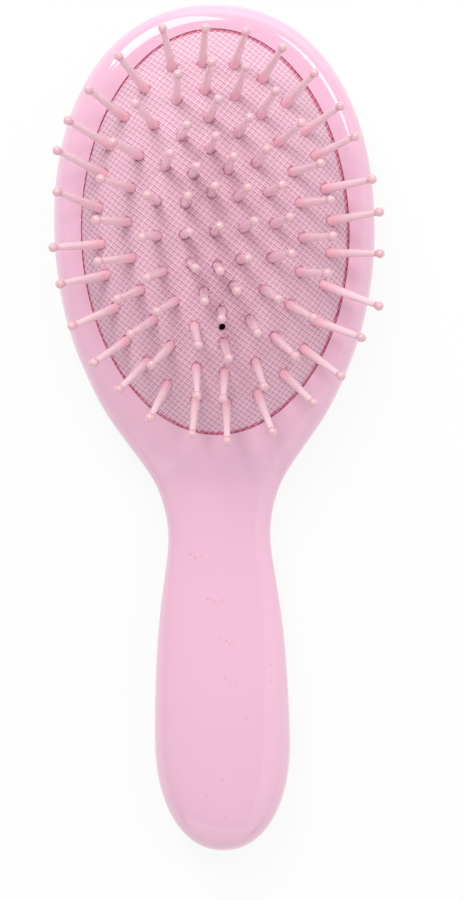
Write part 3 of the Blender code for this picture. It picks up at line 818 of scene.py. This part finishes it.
def ring_places(half_width, half_length, first, count):
    """Evenly spaced places in a ring, from the pad's centre, clockwise from the head's top."""
    turns = np.linspace(0, 2 * math.pi, RING_SAMPLES)
    x, y = half_width * np.sin(turns), half_length * np.cos(turns)
    travelled = np.concatenate(([0], np.cumsum(np.hypot(np.diff(x), np.diff(y)))))
    stops = (np.arange(count) + first) / count * travelled[-1] % travelled[-1]
    return [
        Vector((px, py)) * MM
        for px, py in zip(np.interp(stops, travelled, x), np.interp(stops, travelled, y))
    ]


def seen_base(pixel, place):
    """Place on the dome under a pixel, kept near the pin's even place."""
    ray = pixel_ray(pixel)
    height = dome_point(*place).z
    for _ in range(SIGHT_ROUNDS):
        found = EYE + ray * ((height - EYE.z) / ray.z)
        seen = Vector((found.x, found.y - PAD_Y))
        height = dome_point(*seen).z
    shift = seen - place
    if shift.length > BASE_SLACK:
        shift = shift.normalized() * BASE_SLACK
    return place + shift


def aimed(base, pixel, reach):
    """Direction from a base such that a point at that reach along it is seen at the pixel."""
    ray = pixel_ray(pixel)
    offset = EYE - base
    middle = -offset.dot(ray)
    spare = middle * middle - offset.length_squared + reach * reach
    tip = EYE + ray * (middle - math.sqrt(max(spare, 0)))
    return (tip - base).normalized()


def stand(places, pixels):
    """Base and direction of each pin of a row."""
    pins = []
    for place, (ball, foot) in zip(places, pixels):
        base = dome_point(*seen_base(foot, place))
        pins.append((base, aimed(base, ball, PIN_LENGTH - BALL_RADIUS)))
    return pins


def pin_outline():
    rows = [(radius * MM, height * MM) for radius, height in PIN_PROFILE]
    middle = PIN_LENGTH - BALL_RADIUS
    for turn in map(math.radians, BALL_TURNS):
        rows.append((BALL_RADIUS * math.cos(turn), middle + BALL_RADIUS * math.sin(turn)))
    return rows + [(0.0, PIN_LENGTH)]


def add_pin(bm, along, base, direction):
    """One turned pin, spun round its axis, with its height kept for the material."""
    before = set(bm.verts)
    made = [bm.verts.new((radius, 0, height)) for radius, height in pin_outline()]
    edges = [bm.edges.new(pair) for pair in zip(made, made[1:])]
    bmesh.ops.spin(
        bm, geom=made + edges, cent=(0, 0, 0), axis=(0, 0, 1), angle=2 * math.pi,
        steps=PIN_SIDES, use_merge=True,
    )
    fresh = [vert for vert in bm.verts if vert not in before]
    bmesh.ops.remove_doubles(bm, verts=fresh, dist=0.001 * MM)
    fresh = [vert for vert in bm.verts if vert not in before]
    for vert in fresh:
        vert[along] = vert.co.z / PIN_LENGTH
    turn = direction.to_track_quat("Z", "Y").to_matrix().to_4x4()
    bmesh.ops.transform(bm, matrix=Matrix.Translation(base) @ turn, verts=fresh)


def add_bar(bm, near, far):
    """Hidden bar between two feet."""
    ends = [base - direction * BAR_DEPTH for base, direction in (near, far)]
    run = ends[1] - ends[0]
    up = (near[1] + far[1]).normalized()
    side = run.cross(up).normalized()
    turn = Matrix((run.normalized(), side, side.cross(run.normalized()))).transposed().to_4x4()
    size = Matrix.Diagonal((run.length, BAR_WIDTH, BAR_THICKNESS, 1))
    place = Matrix.Translation((ends[0] + ends[1]) / 2)
    bmesh.ops.create_cube(bm, size=1, matrix=place @ turn @ size)


def pin_plastic():
    material, tree, shader, place = new_material("pin_plastic")
    along = node(tree, "ShaderNodeAttribute", attribute_name="pin_height").outputs["Fac"]
    cloudy = node(tree, "ShaderNodeTexNoise", {"Vector": place, "Scale": 260, "Detail": 2})
    wavy = maths(tree, "MULTIPLY_ADD", cloudy.outputs["Fac"], 0.2, -0.1)
    rise = node(
        tree, "ShaderNodeMapRange",
        {"Value": maths(tree, "ADD", along, wavy), "From Min": 0.0, "From Max": 0.4},
        interpolation_type="SMOOTHSTEP",
    )
    colour = blended(tree, rise.outputs[0], PIN_SALMON, PIN_PALE)
    tip = node(
        tree, "ShaderNodeMapRange", {"Value": along, "From Min": 0.84, "From Max": 0.9},
        interpolation_type="SMOOTHSTEP",
    )
    colour = blended(tree, tip.outputs[0], colour, PIN_TIP)
    tree.links.new(colour, shader.inputs["Base Color"])
    scuffs = node(tree, "ShaderNodeTexNoise", {"Vector": place, "Scale": 1800, "Detail": 2})
    rough = node(
        tree, "ShaderNodeMapRange",
        {"Value": scuffs.outputs["Fac"], "To Min": 0.1, "To Max": 0.2},
    )
    tree.links.new(rough.outputs[0], shader.inputs["Roughness"])
    shader.inputs["Coat Weight"].default_value = 0.8
    shader.inputs["Coat Roughness"].default_value = 0.12
    shader.inputs["Subsurface Weight"].default_value = 0.25
    shader.inputs["Subsurface Scale"].default_value = 0.8 * MM
    shader.inputs["Subsurface Radius"].default_value = (1.0, 0.5, 0.5)
    return material


def pin_strip(name, node_name, body, pins, material):
    bm = bmesh.new()
    along = bm.verts.layers.float.new("pin_height")
    for base, direction in pins:
        add_pin(bm, along, base, direction)
    for near, far in zip(pins, pins[1:]):
        add_bar(bm, near, far)
    strip = finished(name, bm, material, sharp_angle=45, merge=0.0001 * MM)
    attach(strip, body)
    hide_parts(node_name)


pink_pin = pin_plastic()
middles = [Vector((0, CENTRE_PITCH * step)) for step in (1, 0, -1)]
centre_pins = stand(middles, CENTRE_PINS)
pin_strip("pins_centre", "pin_strip_centre", "centre_pins", centre_pins, pink_pin)
all_pins = list(centre_pins)
for number, (half_width, half_length, first_share, pixels) in enumerate(
    (RING_1, RING_2, RING_3, RING_4), start=1
):
    places = ring_places(half_width, half_length, first_share, len(pixels))
    ring_pins = stand(places, pixels)
    all_pins += ring_pins
    strips = math.ceil(len(pixels) / STRIP_PIN_COUNT)
    for part, members in enumerate(np.array_split(np.arange(len(pixels)), strips), start=1):
        strip = f"ring_{number}_{part}"
        chosen = [ring_pins[index] for index in members]
        pin_strip(f"pins_{strip}", f"pin_strip_{strip}", f"ring_{number}_pins", chosen, pink_pin)

# Holes in facing and rubber
# Punched through both layers of the cushion: one for each pin, which it fills but for a fine dark
# line, and the open vent below the middle.
PIN_HOLE_RADIUS = 1.1 * MM
HOLE_DEPTH = 6.0 * MM

bm = bmesh.new()
holes = [(base, direction, PIN_HOLE_RADIUS) for base, direction in all_pins]
holes.append((dome_point(*VENT), dome_normal(*VENT), VENT_RADIUS))
for base, direction, radius in holes:
    turn = direction.to_track_quat("Z", "Y").to_matrix().to_4x4()
    bmesh.ops.create_cone(
        bm, cap_ends=True, segments=HOLE_SIDES, radius1=radius, radius2=radius, depth=HOLE_DEPTH,
        matrix=Matrix.Translation(base) @ turn,
    )
hole_tool = finished("hole_tool", bm, None)
for piece in (cushion, facing):
    holed = piece.modifiers.new("holes", "BOOLEAN")
    holed.object = hole_tool
    holed.operation = "DIFFERENCE"
    holed.solver = "EXACT"
    bpy.context.view_layer.update()
    depsgraph = bpy.context.evaluated_depsgraph_get()
    mesh = bpy.data.meshes.new_from_object(piece.evaluated_get(depsgraph), depsgraph=depsgraph)
    piece.modifiers.clear()
    piece.data = mesh
bpy.data.objects.remove(hole_tool)

for piece, node_name, slot in (
    (cushion, "cushion_pad", "rubber"), (facing, "pad_facing", "facing"),
):
    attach(piece, "brush_body")
    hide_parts(node_name)
    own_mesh(piece)

# Studio
# A pale floor under the brush, white light all round, and six soft lamps. A long one beyond the
# head is the white streak on the rim, a narrow one at the upper right is the thin streak there, the
# key lamp at the upper left throws the pins' shadows, and three wide ones are low.
FLOOR_SIZE = 6.0
FLOOR_SHARE = 0.88  # of the floor that is plain white to the camera
LAMP_DISTANCE = 0.9
WORLD_STRENGTH = 0.5


def floor_white():
    material, tree, shader, _ = new_material("floor_white")
    shader.inputs["Base Color"].default_value = (0.9, 0.9, 0.9, 1)
    shader.inputs["Roughness"].default_value = 0.9
    seen = node(tree, "ShaderNodeLightPath").outputs
    mirrored = maths(tree, "MAXIMUM", seen["Is Glossy Ray"], seen["Is Transmission Ray"])
    direct = maths(tree, "MULTIPLY_ADD", seen["Is Camera Ray"], FLOOR_SHARE, mirrored)
    white = node(tree, "ShaderNodeEmission", {"Color": (1, 1, 1, 1), "Strength": 1.0})
    mix = node(
        tree, "ShaderNodeMixShader", {0: direct, 1: shader.outputs[0], 2: white.outputs[0]}
    )
    tree.links.new(mix.outputs[0], tree.nodes["Material Output"].inputs["Surface"])
    return material


bm = bmesh.new()
bmesh.ops.create_grid(bm, x_segments=1, y_segments=1, size=FLOOR_SIZE / 2)
floor = finished("floor", bm, floor_white())


def soft_lamp(name, azimuth, elevation, size, power):
    """Area lamp at a clockwise angle from the head's end, aimed at the head."""
    azimuth, elevation = math.radians(azimuth), math.radians(elevation)
    level = math.cos(elevation)
    toward = Vector((math.sin(azimuth) * level, math.cos(azimuth) * level, math.sin(elevation)))
    data = bpy.data.lights.new(name, "AREA")
    data.shape = "ELLIPSE"
    data.size, data.size_y = size
    data.energy = power
    lamp = bpy.data.objects.new(name, data)
    bpy.context.scene.collection.objects.link(lamp)
    lamp.location = Vector((0, PAD_Y / 2, 0)) + toward * LAMP_DISTANCE
    lamp.rotation_mode = "QUATERNION"
    lamp.rotation_quaternion = toward.to_track_quat("Z", "Y")


soft_lamp("top_lamp", -15, 53, (0.36, 0.74), 2.5)
soft_lamp("key_lamp", -30, 46, (0.28, 0.34), 1.95)
soft_lamp("right_lamp", 48, 59, (0.34, 0.22), 0.8)
soft_lamp("head_lamp", 20, 12, (1.2, 0.6), 1.6)
soft_lamp("side_lamp", 105, 25, (1.4, 1.0), 1.2)
soft_lamp("foot_lamp", 185, 22, (1.5, 0.8), 1.4)

world = bpy.data.worlds.new("studio")
world.use_nodes = True
bpy.context.scene.world = world
world.node_tree.nodes["Background"].inputs["Color"].default_value = (1, 1, 1, 1)
world.node_tree.nodes["Background"].inputs["Strength"].default_value = WORLD_STRENGTH
bpy.context.scene.view_settings.view_transform = "Standard"
